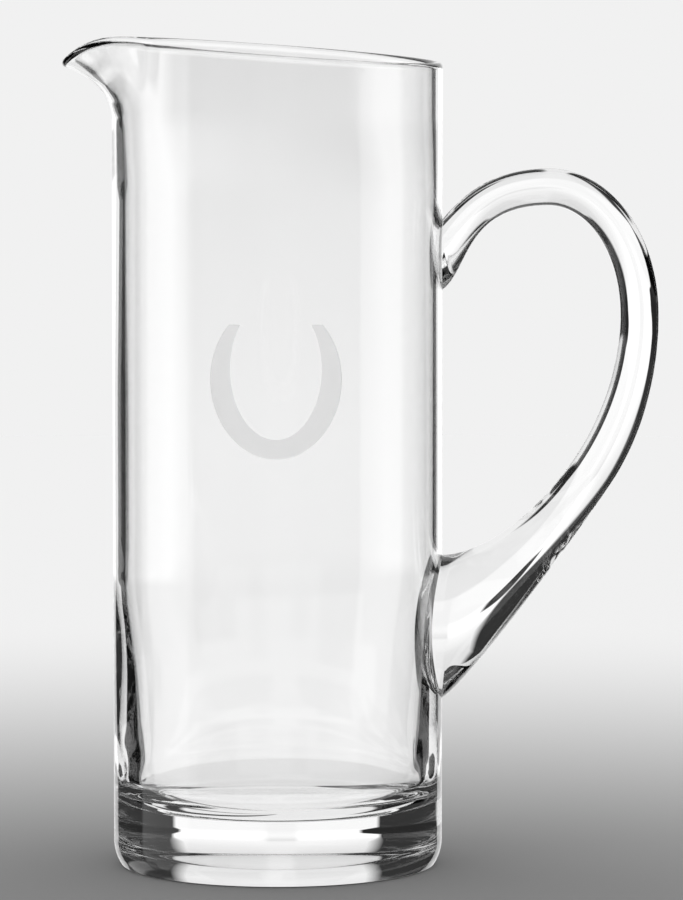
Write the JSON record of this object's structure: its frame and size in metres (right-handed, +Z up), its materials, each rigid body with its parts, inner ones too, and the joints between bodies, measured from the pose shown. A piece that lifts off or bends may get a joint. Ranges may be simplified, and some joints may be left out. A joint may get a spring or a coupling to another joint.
{
  "type": "cocktail pitcher",
  "caption": "Tall clear glass pitcher: straight blown body on a heavy solid base, slanting rim with a pulled spout, applied ear-shaped handle and an etched horseshoe.",
  "frame": {"origin": "centre of the flat foot, on the body's axis, in the plane that the pitcher stands on", "axes": "+Z up along the body's axis, -X towards the spout, +X towards the handle, -Y out of the etched figure on the front"},
  "size_m": [0.1806, 0.1, 0.251],
  "materials": {
    "clear_glass": "fire-polished, colourless",
    "etched_glass": "etched matt"
  },
  "bodies": {
    "root": {"body_wall": "clear_glass", "heavy_base": "clear_glass", "pouring_lip": "clear_glass", "handle_upper_seal": "clear_glass", "handle_bow": "clear_glass", "handle_lower_seal": "clear_glass", "etched_horseshoe": "etched_glass"}
  },
  "joints": []
}
